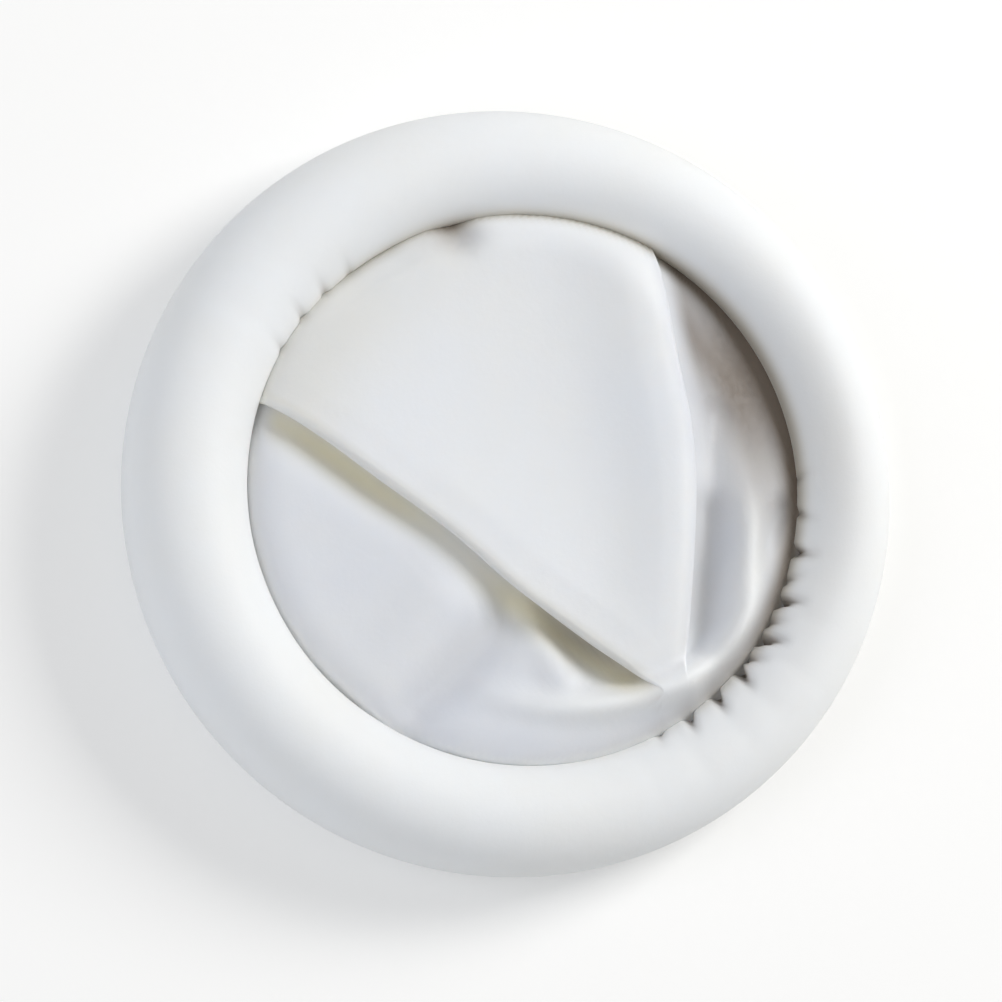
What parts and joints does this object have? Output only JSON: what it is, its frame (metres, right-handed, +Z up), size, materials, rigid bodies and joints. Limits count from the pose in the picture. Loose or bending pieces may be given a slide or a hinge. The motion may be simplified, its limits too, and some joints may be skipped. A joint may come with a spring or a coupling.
{
  "type": "finger cot",
  "caption": "Rolled latex finger cot: a thin closed tip folded flat inside a soft ring of rolled film, unrolled over a fingertip to cover it.",
  "frame": {"origin": "centre of the outline, on the flat underside of the roll", "axes": "+Z up, towards the closed tip; the roll is fattest on the -X side; +Y runs across, so that the pleat's narrow end points to the lower right when seen from above"},
  "size_m": [0.024, 0.024, 0.0039],
  "materials": {
    "latex": "powdered satin"
  },
  "bodies": {
    "root": {"rolled_cot": "latex"}
  },
  "joints": []
}
